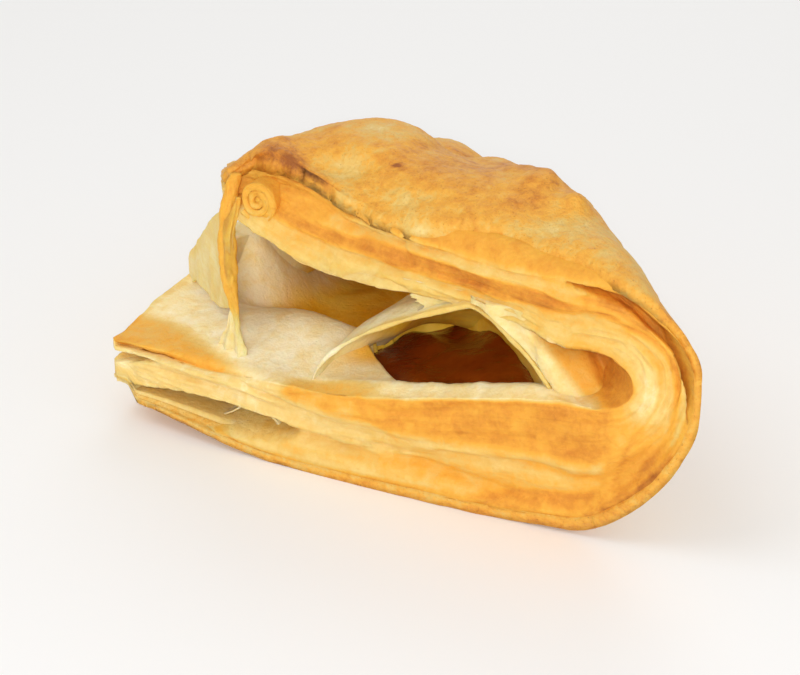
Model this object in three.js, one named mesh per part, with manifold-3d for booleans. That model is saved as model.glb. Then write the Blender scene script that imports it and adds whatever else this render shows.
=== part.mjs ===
// A jam turnover: a square of puff pastry folded corner to corner over a spoon of jam.
// It burst open at its free corners as it baked, so the inside shows.
// Millimetres, +Z up. x runs along the front cut edge and y along the rear cut edge, both
// from the bottom sheet's free corner. The fold joins the far ends of the two edges.
import * as THREE from "three";
import { mergeVertices } from "three/addons/utils/BufferGeometryUtils.js";
import Module from "manifold-3d";

const wasm = await Module();
wasm.setup();

// Driving dimensions.
const front = { run: 98, inner: 96, bulge: 24, innerBulge: 13, height: 50, lean: 8 };
const rear = { run: 92, inner: 86, bulge: 17, innerBulge: 4, height: 25, lean: 3 };
const corner = { x: 20.5, y: 11, top: 50, under: 43.5 }; // the top sheet's free corner
const slab = { tip: 16.5, fold: 27.7 }; // thickness of the bottom sheet along the front
const ceiling = 38.2; // underside of the top sheet along the front
const dome = { rise: 13, atFold: 11 }; // how far the middle stands above the two edges
const skin = 1.7; // thickness of the blistered inner skins
const jamGap = 0.35; // clearance between the jam and the pastry

const mix = (a, b, t) => a + (b - a) * t;
const ease = (from, to, t) => {
  const k = Math.min(1, Math.max(0, (t - from) / (to - from)));
  return k * k * (3 - 2 * k);
};
const hump = (t, centre, reach) => Math.exp(-(((t - centre) / reach) ** 2));
const mound = (p, centre, reach) =>
  hump(p.x, centre[0], reach[0]) * hump(p.y, centre[1], reach[1]);

// A closed six-sided block. shape(u, v, w) gives the point for u, v and w from 0 to 1.
function block(nu, nv, nw, shape) {
  const points = [];
  const numbers = new Map();
  const number = (i, j, k) => {
    const key = (i * (nv + 1) + j) * (nw + 1) + k;
    if (!numbers.has(key)) {
      numbers.set(key, points.length / 3);
      points.push(...shape(i / nu, j / nv, k / nw).toArray());
    }
    return numbers.get(key);
  };
  const faces = [];
  const side = (na, nb, at) => {
    for (let a = 0; a < na; a++) {
      for (let b = 0; b < nb; b++) {
        const [p, q, r, s] = [at(a, b), at(a + 1, b), at(a + 1, b + 1), at(a, b + 1)];
        faces.push(p, q, r, p, r, s);
      }
    }
  };
  side(nv, nu, (a, b) => number(b, a, 0));
  side(nu, nv, (a, b) => number(a, b, nw));
  side(nu, nw, (a, b) => number(a, 0, b));
  side(nw, nu, (a, b) => number(b, nv, a));
  side(nw, nv, (a, b) => number(0, b, a));
  side(nv, nw, (a, b) => number(nu, a, b));
  return new THREE.BufferGeometry()
    .setAttribute("position", new THREE.Float32BufferAttribute(points, 3))
    .setIndex(faces);
}

function solid(geometry) {
  geometry.deleteAttribute("normal");
  geometry.deleteAttribute("uv");
  const merged = mergeVertices(geometry, 1e-4);
  const made = new wasm.Manifold(
    new wasm.Mesh({
      numProp: 3,
      vertProperties: new Float32Array(merged.attributes.position.array),
      triVerts: new Uint32Array(merged.index.array),
    }),
  );
  if (made.volume() >= 0) return made;
  const turned = merged.index.array.slice();
  for (let i = 0; i < turned.length; i += 3) {
    [turned[i], turned[i + 1]] = [turned[i + 1], turned[i]];
  }
  return solid(merged.clone().setIndex([...turned]));
}

function geometryOf(made) {
  const mesh = made.getMesh();
  const geometry = new THREE.BufferGeometry()
    .setAttribute("position", new THREE.BufferAttribute(mesh.vertProperties, 3))
    .setIndex(new THREE.BufferAttribute(mesh.triVerts, 1));
  geometry.computeVertexNormals();
  return geometry;
}

// Heights along the front and the rear cut edge, by the distance from the free corner.
const slabFront = (x) => mix(slab.tip, slab.fold, ease(40, 110, x));
const slabRear = (y) => slab.tip + 1.5 * hump(y, 28, 16) - 4 * ease(45, rear.run, y);
const underside = (d) =>
  4.2 * (1 - ease(4, 40, d)) + 4.8 * (1 - ease(2, 9, d)) + 0.6 * ease(84, 98, d);
const crestFront = (x) =>
  front.height + 3.5 * hump(x, 35, 13) - 1.5 * hump(x, 77, 14) - 1.2 * (1 - ease(17, 26, x));
const crestRear = (y) => mix(corner.top, rear.height, Math.max(0, (y - corner.y) / 87) ** 0.95);
const ceilingFront = (x) => mix(corner.under, ceiling, ease(22, 46, x)) - 2 * ease(84, 98, x);
const ceilingRear = (y) => mix(corner.under - 1, slabRear(y) + 1.5, ease(20, 70, y));

// How far the top sheet's edges have drawn back from the bottom sheet's.
const frontSet = (x) =>
  corner.y * Math.exp((corner.x - x) / 13) + 3 * ease(20, 40, x) * (1 - ease(70, 98, x));
const ridgeBack = (x) => 7.5 * (1 - ease(28, 86, x)) * ease(20, 26, x);
const rearSet = (y) => corner.x * Math.exp((corner.y - y) / 26) * (1 - ease(60, 92, y));

// Puffing between the two cut edges, fullest towards the front.
const puff = (w) => Math.sin(Math.PI * Math.max(0, w) ** 0.75);

// Places on the sheet. run goes from a free corner to the fold, w from the front cut edge
// to the rear one, and depth from the inside of the turnover to the outside.
function bottomPlace(run, w, depth) {
  const x = mix(mix(1, front.inner, run), mix(1, front.run, run), depth);
  const y = mix(mix(1, rear.inner, run), mix(1, rear.run, run), depth);
  const p = new THREE.Vector3(x * (1 - w), y * w, 0);
  const crest = mix(23, 14, ease(20, 60, p.x));
  const drop = 8.5 * ease(0, 11, p.y - crest) * ease(7, 20, p.x) * (1 - ease(38, 52, p.x));
  const top = mix(slabFront(x), slabRear(y), w) + 4.2 * mound(p, [33, 18], [17, 9]) - drop;
  p.z = mix(top, mix(underside(x), underside(y), w), depth);
  p.y -= 2.4 * depth * Math.sin(Math.PI * run) * Math.exp(-p.y / 14);
  return p;
}

function foldPlace(turn, w, depth) {
  const angle = (turn - 0.5) * Math.PI;
  const [c, s] = [Math.max(0, Math.cos(angle)), Math.sin(angle)];
  const middle = (low, high) => mix(low, high, (1 + s) / 2);
  const x = mix(front.inner + front.innerBulge * c, front.run + front.bulge * c, depth);
  const y = mix(rear.inner + rear.innerBulge * c, rear.run + rear.bulge * c, depth);
  const frontZ = mix(
    middle(slabFront(front.inner), ceilingFront(front.inner)) - 2 * c,
    middle(underside(front.run), crestFront(front.run)) + front.lean * c ** 1.2,
    depth,
  );
  const rearZ = mix(
    middle(slabRear(rear.inner), ceilingRear(rear.inner)),
    middle(underside(rear.run), crestRear(rear.run)) + rear.lean * c ** 1.5,
    depth,
  );
  const swell = 2.8 * Math.sin(Math.PI * w) * c;
  const p = new THREE.Vector3(x * (1 - w) + swell, y * w + swell, mix(frontZ, rearZ, w));
  p.z += ((dome.atFold * puff(w) + depth * blisters(p)) * (1 + s)) / 2;
  return p;
}

function topPlace(run, w, depth) {
  const x = mix(mix(corner.x + 2, front.inner, run), mix(corner.x + 1, front.run, run), depth);
  const y = mix(mix(corner.y + 2, rear.inner, run), mix(corner.y + 1, rear.run, run), depth);
  const under = mix(ceilingFront(x), ceilingRear(y), w);
  const over = mix(crestFront(x), crestRear(y), w);
  const back = ridgeBack(x) * depth;
  const p = new THREE.Vector3(mix(x, rearSet(y), w), mix(frontSet(x) + back, y, w), 0);
  const rise = mix(1, dome.rise, ease(0.1, 0.75, run)) - 2 * ease(0.75, 1, run);
  p.z = mix(under, over, depth) + rise * puff(w) + depth * blisters(p);
  return p;
}

// The blown-up top: a high blister at the back, another at the right and a valley between.
function blisters(p) {
  return (
    4.5 * mound(p, [36, 29], [17, 13]) +
    4 * mound(p, [78, 23], [14, 12]) -
    2 * mound(p, [53, 38], [7, 14])
  );
}

// The whole sheet, from the bottom's free corner round the fold to the top's.
const folding = { from: 0.38, to: 0.62 };
function sheet(u, v, through) {
  const w = (1 - Math.cos(Math.PI * v)) / 2;
  const lap = mix(0.12, 0.5, ease(0.08, 0.36, u)) * (1 - ease(0.42, 0.6, u)) + 0.25 * ease(0.42, 0.6, u);
  const depth =
    through < 0.4 ? (lap * through) / 0.4 : mix(lap, 1, ((through - 0.4) / 0.6) ** 1.3);
  if (u < folding.from) {
    return cutFace(bottomPlace(u / folding.from, w, depth), w, through, u);
  }
  if (u > folding.to) {
    return cutFace(topPlace((1 - u) / (1 - folding.to), w, depth), w, through, u);
  }
  const turn = (u - folding.from) / (folding.to - folding.from);
  return cutFace(foldPlace(turn, w, depth), w, through, u);
}

// The leaves that stand out of the cut faces: the innermost ones of the bottom sheet lap
// over those below, and its outermost skin rolls under.
function cutFace(p, w, through, u) {
  const lapped = 1.6 * (1 - ease(0.38, 0.62, through)) - 0.9 * hump(through, 0.66, 0.14);
  const rolled = 0.9 * hump(through, 0.86, 0.1);
  const leaf = 0.55 * Math.cos(5 * Math.PI * through + 3 * Math.sin(9 * u));
  const lap = (lapped + rolled) * (1 - ease(0.4, 0.55, u));
  const out = (lap + leaf) * ease(0, 0.08, u) * ease(0, 0.06, 1 - u);
  if (w < 0.5) {
    p.y -= out * Math.exp((-w * 100) / 3);
  } else {
    p.x -= out * Math.exp((-(1 - w) * 100) / 3);
  }
  return p;
}

// The fold's inside limits what lies in the turnover: the y that a share of the way from
// the free corner to the fold reaches beside a given x.
const foldY = (x, share) => rear.inner * (share - x / front.inner);

// The inner skin, blown up over the jam: it springs from the floor at the left, welds to
// the top sheet in the middle and comes down again at the right.
const vault = { from: 26, start: 44, weld: 76, to: 93, back: 52, floor: 12 };
function vaultRim(x) {
  const up = Math.max(0, (x - vault.start) / (vault.weld - vault.start)) ** 0.55;
  const down = Math.max(0, (x - vault.weld) / (92 - vault.weld)) ** 1.6;
  return x < vault.weld ? slab.tip + 23 * up : slab.tip + 23 - 12 * down;
}
function vaultSkin(u, v, depth) {
  const x = mix(vault.from, vault.to, u);
  const y = mix(2, Math.min(vault.back, foldY(x, 1.1)), v ** 1.3);
  const fall = 1 + 0.06 * ease(2, 9, y) - 1.06 * ease(15, 49, y);
  return new THREE.Vector3(x, y, mix(vault.floor, vaultRim(x), fall) - skin * depth);
}

// The part of the front seam that stayed shut, right of the weld and over the fold's hollow.
function shutSeam(u, v, depth) {
  const x = mix(mix(67, 62, v), mix(107, 103, depth), u);
  const base = x < 90 ? vaultRim(x) - skin : 24;
  return new THREE.Vector3(x, mix(3.5 + u, 8, depth), mix(base, ceilingFront(x) + 2, v));
}

// The rear membrane, which still joins the two sheets behind the mouth: a low pale blister
// in front, then the shut part of the rear seam.
function rearMembrane(u, v, depth) {
  const y = mix(27, 88, u);
  const low = mix(slabRear(y) - 1, 25.5, ease(26, 38, y));
  const top = mix(low, ceilingRear(y) + 2, ease(44, 54, y));
  const x = mix(2.5, 1, u) + mix(6.5, 0, ease(42, 70, y)) * Math.sin(Math.PI * v * 0.6);
  const thick = mix(skin, 6, ease(45, 70, y));
  return new THREE.Vector3(x + thick * depth, y, mix(slabRear(y) - 3, top, v));
}

// The torn web between the two free corners: a pale sail with a thick browned strand at
// its right edge, hung from the top corner. Its plane crosses the bottom sheet's corner.
const web = { x: 27, y: 5, along: [-0.737, 0.676], head: 48, foot: 14.5, reach: 36 };
function tornWeb(u, v, depth) {
  const z = mix(web.foot, web.head, v);
  const reach = mix(web.reach, 8, ease(24, 48, z)) - 5 * (1 - ease(16, 22, z));
  const g = u * reach;
  const stout = mix(0.35, 1, ease(17, 34, z)) - 0.4 * ease(36, 46, z);
  const thick = mix(1.2, 3.4 * stout, hump(g, 0, 3));
  const out = 2.5 * Math.sin(Math.PI * u) - 2 * ease(38, 48, z) + thick * (0.5 - depth);
  return new THREE.Vector3(
    web.x + web.along[0] * g - web.along[1] * out,
    web.y + web.along[1] * g + web.along[0] * out,
    z,
  );
}

// The rolled-up end of the top sheet's front edge.
const curl = { x: 27.9, z: 47.2, from: 5.5, length: 9, radius: 4.4, turns: 1.9, leaf: 1.7 };
function curledEnd() {
  const outline = [];
  const steps = 22;
  for (const edge of [0, 1]) {
    for (let i = 0; i <= steps; i++) {
      const k = edge ? 1 - i / steps : i / steps;
      const angle = k * curl.turns * 2 * Math.PI;
      const r = mix(0.5, curl.radius, k) - edge * curl.leaf * mix(0.3, 1, k);
      outline.push(new THREE.Vector2(-r * Math.cos(angle), r * Math.sin(angle)));
    }
  }
  const roll = new THREE.ExtrudeGeometry(new THREE.Shape(outline), {
    depth: curl.length,
    bevelEnabled: false,
  });
  return roll.rotateX(Math.PI / 2).translate(curl.x, curl.from + curl.length, curl.z);
}

// The hollow that the jam has sunk into, with a thin lip left standing in front of it, and
// the jam itself, which follows the hollow's walls at a small clearance.
const jam = { left: 45.5, right: 90, back: 40, low: 9.5, rise: 5.5, level: 14.2, tilt: 7.6 };
function inHollow(u, v, gap) {
  const along = (1 - Math.cos(Math.PI * u)) / 2;
  const x = mix(jam.left + gap, jam.right - 3 * gap, along);
  const lip = mix(10.5, 3.6, ease(50, 64, x)) + gap;
  const back = Math.min(jam.back, foldY(x, 1.05)) - 1.6 * gap;
  const round = Math.sqrt(Math.max(0.05, 1 - (2 * along - 1) ** 4));
  const half = ((back - lip) / 2) * round;
  return { x, y: (lip + back) / 2 + half * (2 * v - 1), along, round };
}
function jamHollow(u, v, w) {
  const { x, y, along } = inHollow(u, v, 0);
  return new THREE.Vector3(x, y, mix(jam.low + jam.rise * along, 30, w));
}
const jamPool = (gap) => (u, v, w) => {
  const { x, y, along, round } = inHollow(u, v, gap);
  const crown = 1.8 * round * Math.sin(Math.PI * v) + 0.5 * Math.sin(0.35 * x + 0.5 * y);
  const climb = 4 * Math.sin(Math.PI * along) * ease(0.45, 1, v) * ease(0.3, 0.6, along);
  const top = jam.level + jam.tilt * along + crown + climb + jamGap - gap;
  return new THREE.Vector3(x, y, mix(jam.low + jam.rise * along + gap, top, w));
};

// The blown blister between the leaves of the bottom sheet, open to the front.
function lowerBlister(u, v, w) {
  const x = mix(4, 41, u);
  const arch = Math.sin(Math.PI * mix(0.12, 0.96, u)) ** 0.6;
  const y = mix(-6, 4 + 11 * arch, v);
  const middle = mix(6, 5, u);
  return new THREE.Vector3(x, y, middle + (w - 0.5) * 6.2 * arch * mix(1, 0.35, v));
}

// The notch that parts the leaves at the bottom sheet's free corner.
function tipNotch(u, v, w) {
  const x = mix(-4, 10, u);
  return new THREE.Vector3(x, mix(-6, 12, v), 13.2 + 0.1 * x + (w - 0.5) * mix(2.4, 0.3, u));
}

// The gap that parts the outermost leaf from the rest round the fold's upper half.
function leafGap(u, v, w) {
  const gap = 0.1 * Math.sin(Math.PI * mix(0.05, 0.95, u)) ** 0.7;
  return foldPlace(mix(0.42, 1, u), mix(-0.05, 0.05, v), 0.8 + (w - 0.5) * gap);
}

const material = (name, color, roughness) =>
  new THREE.MeshStandardMaterial({ name, color, roughness, metalness: 0 });

const join = (whole, piece) => whole.add(piece);
const cut = (whole, piece) => whole.subtract(piece);
const hollowSheet = solid(block(60, 21, 6, sheet)).subtract(solid(block(14, 8, 2, jamHollow)));
const skins = [
  block(20, 10, 1, vaultSkin),
  block(9, 3, 1, shutSeam),
  block(14, 4, 1, rearMembrane),
  block(8, 12, 1, tornWeb),
  curledEnd(),
];
const hollows = [
  block(9, 4, 4, lowerBlister),
  block(1, 1, 1, tipNotch),
  block(12, 2, 1, leafGap),
  block(14, 8, 2, jamPool(0)),
];
const pastrySolid = hollows.map(solid).reduce(cut, skins.map(solid).reduce(join, hollowSheet));

const turnover = new THREE.Group();
const pastry = new THREE.Mesh(geometryOf(pastrySolid), material("baked_pastry", 0xe9a94c, 0.6));
pastry.name = "pastry";
turnover.add(pastry);
const jamGeometry = geometryOf(solid(block(14, 8, 2, jamPool(jamGap))));
const filling = new THREE.Mesh(jamGeometry, material("jam", 0x541d06, 0.2));
filling.name = "jam_filling";
turnover.add(filling);

// The origin is under the middle of the turnover.
const bounds = new THREE.Box3().setFromObject(turnover);
const middle = bounds.getCenter(new THREE.Vector3());
turnover.position.set(-middle.x, -middle.y, -bounds.min.z);

export default turnover;
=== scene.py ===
from math import sin, cos, pi, exp, sqrt, radians

import bpy
import bmesh
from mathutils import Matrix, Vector, noise


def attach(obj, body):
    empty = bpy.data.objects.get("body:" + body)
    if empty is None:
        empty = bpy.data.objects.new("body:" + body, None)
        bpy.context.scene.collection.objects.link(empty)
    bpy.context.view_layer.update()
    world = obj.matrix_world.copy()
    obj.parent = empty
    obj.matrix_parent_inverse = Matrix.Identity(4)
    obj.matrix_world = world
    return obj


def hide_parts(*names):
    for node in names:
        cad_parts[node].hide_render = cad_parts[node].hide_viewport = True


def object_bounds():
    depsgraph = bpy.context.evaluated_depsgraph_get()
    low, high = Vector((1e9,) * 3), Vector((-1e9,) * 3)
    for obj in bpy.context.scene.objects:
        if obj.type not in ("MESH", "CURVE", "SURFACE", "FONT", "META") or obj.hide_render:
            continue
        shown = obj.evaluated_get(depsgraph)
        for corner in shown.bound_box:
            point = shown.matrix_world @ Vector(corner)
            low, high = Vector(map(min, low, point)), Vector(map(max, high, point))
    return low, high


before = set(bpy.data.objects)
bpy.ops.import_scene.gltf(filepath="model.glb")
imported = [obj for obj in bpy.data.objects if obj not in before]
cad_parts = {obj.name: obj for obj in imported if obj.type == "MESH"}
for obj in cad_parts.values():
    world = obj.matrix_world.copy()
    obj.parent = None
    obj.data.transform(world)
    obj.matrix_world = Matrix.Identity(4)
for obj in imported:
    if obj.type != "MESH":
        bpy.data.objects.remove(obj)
cadLow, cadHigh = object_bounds()

# The shapes are worked out in millimetres from the bottom sheet's free corner: x runs
# along the front cut edge and y along the rear one. cornerShift takes them to the frame.
cornerShift = Vector((59.925, 52.968, 0))
boxLow = Vector(cadLow) * 1000 + cornerShift
boxHigh = Vector(cadHigh) * 1000 + cornerShift
aboveFloor = 0.02


def mix(a, b, t):
    return a + (b - a) * t


def ease(low, high, x):
    k = min(1.0, max(0.0, (x - low) / (high - low)))
    return k * k * (3 - 2 * k)


def hump(x, middle, reach):
    return exp(-((x - middle) / reach) ** 2)


def mound(p, x, y, reachX, reachY):
    return hump(p.x, x, reachX) * hump(p.y, y, reachY)


def moundsAt(p, rows):
    # what rows of x, y, reach x, reach y and height add up to at p
    return sum(height * mound(p, *row) for *row, height in rows)


def lineThrough(u, stops):
    # a smooth line through a few (u, value) stops
    for (uA, a), (uB, b) in zip(stops, stops[1:]):
        if u < uB:
            return mix(a, b, ease(uA, uB, u))
    return stops[-1][1]


def wobble(x, y=0.0, z=0.0, layers=2):
    return noise.fractal(Vector((x, y, z)), 0.9, 2.1, layers)


# the folded sheet in mm, close to the frame's solids
sheet = {
    "frontRun": 98, "frontInner": 96, "frontBulge": 24, "frontInnerBulge": 13, "frontLean": 8,
    "rearRun": 92, "rearInner": 86, "rearBulge": 17, "rearInnerBulge": 4, "rearLean": 3,
    "frontHeight": 50, "rearHeight": 25, "tipThick": 16.5, "foldThick": 27.7, "ceiling": 38.2,
    "cornerX": 20.5, "cornerY": 11, "cornerTop": 50, "cornerUnder": 43.5,
    "domeRise": 13, "domeAtFold": 11,
    "foldFrom": 0.38, "foldTo": 0.62,  # where the fold starts and ends, as shares of u
    "unrolled": 290, "between": 100,  # along u, and from cut to cut
    "cutReach": 3,  # how far behind a cut its leaves still stand in and out
    # soft swellings of the outside and of the pocket's floor: x, y, reach x, reach y, rise
    "swellings": [(36, 29, 17, 13, 4.5), (77, 23, 14, 12, 3.3), (53, 38, 7, 14, -2)],
    "floorSwellings": [(33, 18, 17, 9, 4.2), (6.5, 43.5, 9, 8, 10.5)],
}


def slabFront(x):
    return mix(sheet["tipThick"], sheet["foldThick"], ease(40, 110, x))


def slabRear(y):
    return sheet["tipThick"] + 1.5 * hump(y, 28, 16) - 4 * ease(45, sheet["rearRun"], y)


def underside(d):
    return 4.2 * (1 - ease(4, 40, d)) + 3.6 * (1 - ease(3.2, 6.2, d)) + 0.6 * ease(84, 98, d)


def crestFront(x):
    left = 1.2 * (1 - ease(17, 26, x))
    return sheet["frontHeight"] + 3.5 * hump(x, 35, 13) - 1.5 * hump(x, 77, 14) - left


def crestRear(y):
    return mix(sheet["cornerTop"], sheet["rearHeight"], max(0.0, (y - sheet["cornerY"]) / 87) ** 0.95)


def ceilingFront(x):
    return mix(sheet["cornerUnder"], sheet["ceiling"], ease(22, 46, x)) - 2 * ease(84, 98, x)


def ceilingRear(y):
    return mix(sheet["cornerUnder"] - 1, slabRear(y) + 1.5, ease(20, 70, y))


def frontSet(x):
    # how far the top's front edge stands back, and rearSet its rear edge
    atCorner = sheet["cornerY"] * exp((sheet["cornerX"] - x) / 13)
    return atCorner + 3 * ease(20, 40, x) * (1 - ease(70, 98, x))


def ridgeBack(x):
    # how far the top's ridge stands behind its edge
    return 7.5 * (1 - ease(28, 86, x)) * ease(20, 26, x)


def rearSet(y):
    return sheet["cornerX"] * exp((sheet["cornerY"] - y) / 26) * (1 - ease(60, 92, y))


def puff(w):
    # the dome's rise from cut to cut
    return sin(pi * max(0.0, w) ** 0.75)


def floorCrest(x):
    # how far behind the front cut the pocket's floor starts to fall
    return mix(23, 14, ease(20, 60, x))


def bottomPlace(run, w, depth):
    x = mix(mix(1, sheet["frontInner"], run), mix(1, sheet["frontRun"], run), depth)
    y = mix(mix(1, sheet["rearInner"], run), mix(1, sheet["rearRun"], run), depth)
    p = Vector((x * (1 - w), y * w, 0))
    drop = 8.5 * ease(0, 11, p.y - floorCrest(p.x)) * ease(7, 20, p.x) * (1 - ease(38, 52, p.x))
    top = mix(slabFront(x), slabRear(y), w) + moundsAt(p, sheet["floorSwellings"]) - drop
    p.z = mix(top, mix(underside(x), underside(y), w), depth)
    p.y -= 2.4 * depth * sin(pi * run) * exp(-p.y / 14)
    return p


def foldPlace(turn, w, depth):
    # turn runs from 0 below to 1 above
    angle = (turn - 0.5) * pi
    c, s = max(0.0, cos(angle)), sin(angle)
    frontIn, frontOut = sheet["frontInner"], sheet["frontRun"]
    rearIn, rearOut = sheet["rearInner"], sheet["rearRun"]
    x = mix(frontIn + sheet["frontInnerBulge"] * c, frontOut + sheet["frontBulge"] * c, depth)
    y = mix(rearIn + sheet["rearInnerBulge"] * c, rearOut + sheet["rearBulge"] * c, depth)
    half = (1 + s) / 2
    inner = mix(slabFront(frontIn), ceilingFront(frontIn), half) - 0.9 * c + 2.9 * c * half * half
    outer = mix(underside(frontOut), crestFront(frontOut), half) + sheet["frontLean"] * c ** 1.2
    innerRear = mix(slabRear(rearIn), ceilingRear(rearIn), half)
    outerRear = mix(underside(rearOut), crestRear(rearOut), half) + sheet["rearLean"] * c ** 1.5
    swell = 2.8 * sin(pi * w) * c
    height = mix(mix(inner, outer, depth), mix(innerRear, outerRear, depth), w)
    p = Vector((x * (1 - w) + swell, y * w + swell, height))
    p.z += (sheet["domeAtFold"] * puff(w) + depth * moundsAt(p, sheet["swellings"])) * half
    trimmed = hump(p.x, 114, 9) * hump(p.z, 46, 8) * ease(0.4, 1, depth) * (1 - ease(0.15, 0.5, w))
    p.x -= 1.6 * trimmed
    p.z -= 0.9 * trimmed
    return p


def topPlace(run, w, depth):
    xInside = mix(sheet["cornerX"] + 2, sheet["frontInner"], run)
    yInside = mix(sheet["cornerY"] + 2, sheet["rearInner"], run)
    x = mix(xInside, mix(sheet["cornerX"] + 1, sheet["frontRun"], run), depth)
    y = mix(yInside, mix(sheet["cornerY"] + 1, sheet["rearRun"], run), depth)
    under = mix(ceilingFront(x), ceilingRear(y), w)
    over = mix(crestFront(x), crestRear(y), w)
    p = Vector((mix(x, rearSet(y), w), mix(frontSet(x) + ridgeBack(x) * depth, y, w), 0))
    rise = mix(1, sheet["domeRise"], ease(0.1, 0.75, run)) - 2 * ease(0.75, 1, run)
    p.z = mix(under, over, depth) + rise * puff(w) + depth * moundsAt(p, sheet["swellings"])
    return p


def sheetPlace(u, w, depth):
    # u runs from the bottom's free corner round the fold to the top's free corner
    if u < sheet["foldFrom"]:
        return bottomPlace(u / sheet["foldFrom"], w, depth)
    if u > sheet["foldTo"]:
        return topPlace((1 - u) / (1 - sheet["foldTo"]), w, depth)
    return foldPlace((u - sheet["foldFrom"]) / (sheet["foldTo"] - sheet["foldFrom"]), w, depth)


def sheetThick(u):
    # mm from the inside of the sheet to its outside, near the front cut edge
    return mix(mix(16, 14, ease(0.3, 0.5, u)), 10, ease(0.55, 0.8, u))


def foldY(x, share):
    # the line at share of the way to the fold, on which x and y add up
    return sheet["rearInner"] * (share - x / sheet["frontInner"])


# what the materials read at each vertex: how brown it is, how far jam has soaked in together
# with the warm shade painted deep inside the pocket, and where it lies through the sheet and
# along it, for the lines of the leaves
markNames = ("toast", "jamSoakAndShade", "leaf", "run")


def inOrder(parts):
    # each part once, in the same order at every run
    return list(dict.fromkeys(parts))


def paramBlock(bm, along, across, deep):
    # a box from 0 to 1 each way, cut into cells, whose vertices then go to their places
    before = len(bm.verts)
    grid = bmesh.ops.create_grid(bm, x_segments=along, y_segments=across, size=0.5)
    bmesh.ops.translate(bm, verts=grid["verts"], vec=(0.5, 0.5, 0))
    floor = inOrder(face for vert in grid["verts"] for face in vert.link_faces)
    raised = bmesh.ops.extrude_face_region(bm, geom=floor)["geom"]
    top = [part for part in raised if isinstance(part, bmesh.types.BMVert)]
    bmesh.ops.translate(bm, verts=top, vec=(0, 0, 1))
    bm.verts.ensure_lookup_table()
    verts = bm.verts[before:]
    if deep > 1:
        edges = inOrder(edge for vert in verts for edge in vert.link_edges)
        upright = [edge for edge in edges if abs(edge.verts[0].co.z - edge.verts[1].co.z) > 0.5]
        bmesh.ops.subdivide_edges(bm, edges=upright, cuts=deep - 1, use_grid_fill=True)
        bm.verts.ensure_lookup_table()
        verts = bm.verts[before:]
    return verts


def newPiece():
    bm = bmesh.new()
    for name in markNames:
        bm.verts.layers.float.new(name)
    return bm


def keepInside(p):
    # eases a point back where it comes within a millimetre of the frame's outer box
    for axis in range(3):
        over = p[axis] - (boxHigh[axis] - 1)
        if over > 0:
            p[axis] = boxHigh[axis] - 1 + 0.9 * over / (1 + over)
        under = boxLow[axis] + 1 - p[axis]
        if under > 0 and axis < 2:
            p[axis] = boxLow[axis] + 1 - 0.9 * under / (1 + under)
    p.z = max(p.z, aboveFloor)


def placeBlock(bm, cells, place, marks, relief=None):
    # place(u, v, t) gives mm, marks(u, v, t, p) gives what markNames lists, and
    # relief(u, v, t, p) pushes a vertex out along its normal
    verts = paramBlock(bm, *cells)
    layers = [bm.verts.layers.float[name] for name in markNames]
    spots = [tuple(vert.co) for vert in verts]
    for vert, (u, v, t) in zip(verts, spots):
        vert.co = place(u, v, t)
    faces = inOrder(face for vert in verts for face in vert.link_faces)
    bm.normal_update()  # recalc reads the normals of where the vertices are now
    bmesh.ops.recalc_face_normals(bm, faces=faces)
    for vert, (u, v, t) in zip(verts, spots):
        for layer, value in zip(layers, marks(u, v, t, vert.co)):
            vert[layer] = value
    if relief:
        bm.normal_update()
        moves = [vert.normal * relief(u, v, t, vert.co) for vert, (u, v, t) in zip(verts, spots)]
        for vert, move in zip(verts, moves):
            vert.co += move
    for vert in verts:
        keepInside(vert.co)


def finishPiece(name, bm, material, slot, *nodes):
    bmesh.ops.translate(bm, verts=bm.verts, vec=-cornerShift)
    bmesh.ops.scale(bm, verts=bm.verts, vec=(0.001, 0.001, 0.001))
    for face in bm.faces:
        face.smooth = True
    mesh = bpy.data.meshes.new(name)
    bm.to_mesh(mesh)
    bm.free()
    piece = bpy.data.objects.new(name, mesh)
    bpy.context.collection.objects.link(piece)
    mesh.materials.append(material)
    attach(piece, "root")
    if nodes:
        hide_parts(*nodes)
    print(name, "with", len(mesh.polygons), "faces")


# camera, lights and floor, in metres and watts
studio = {
    "aim": (-0.013275, -0.021018, 0.01566), "azimuth": 28, "elevation": 25, "distance": 0.458,
    "lens": 104.9, "sensor": 36, "shiftY": -0.0094,
    "sky": 0.6, "skyTone": (1.0, 0.985, 0.96, 1),
    "floorHalf": 2.0, "floorTone": (0.93, 0.93, 0.93, 1), "floorRough": 0.7,
    # name, place, size and power of each light
    "lights": [
        ("key light", (-0.4, -0.45, 0.95), 0.7, 2.1),
        ("fill light", (0.41, -0.82, 0.43), 0.14, 4.6),
        ("back light", (-0.25, 0.85, 0.6), 0.8, 1.7),
    ],
}


def addCamera():
    az, el = radians(studio["azimuth"]), radians(studio["elevation"])
    back = Vector((sin(az) * cos(el), -cos(az) * cos(el), sin(el)))
    data = bpy.data.cameras.new("camera")
    data.lens = studio["lens"]
    data.sensor_width = studio["sensor"]
    data.shift_y = studio["shiftY"]
    camera = bpy.data.objects.new("camera", data)
    bpy.context.collection.objects.link(camera)
    camera.location = Vector(studio["aim"]) + back * studio["distance"]
    camera.rotation_euler = back.to_track_quat("Z", "Y").to_euler()
    bpy.context.scene.camera = camera
    print("camera")


def addAreaLight(name, place, size, power):
    data = bpy.data.lights.new(name, "AREA")
    data.shape = "DISK"
    data.size = size
    data.energy = power
    lamp = bpy.data.objects.new(name, data)
    bpy.context.collection.objects.link(lamp)
    lamp.location = place
    lamp.rotation_euler = Vector(place).to_track_quat("Z", "Y").to_euler()


def addSky():
    world = bpy.data.worlds.new("sky")
    world.use_nodes = True
    sky = world.node_tree.nodes["Background"]
    sky.inputs["Color"].default_value = studio["skyTone"]
    sky.inputs["Strength"].default_value = studio["sky"]
    bpy.context.scene.world = world
    bpy.context.scene.view_settings.view_transform = "Standard"


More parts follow.
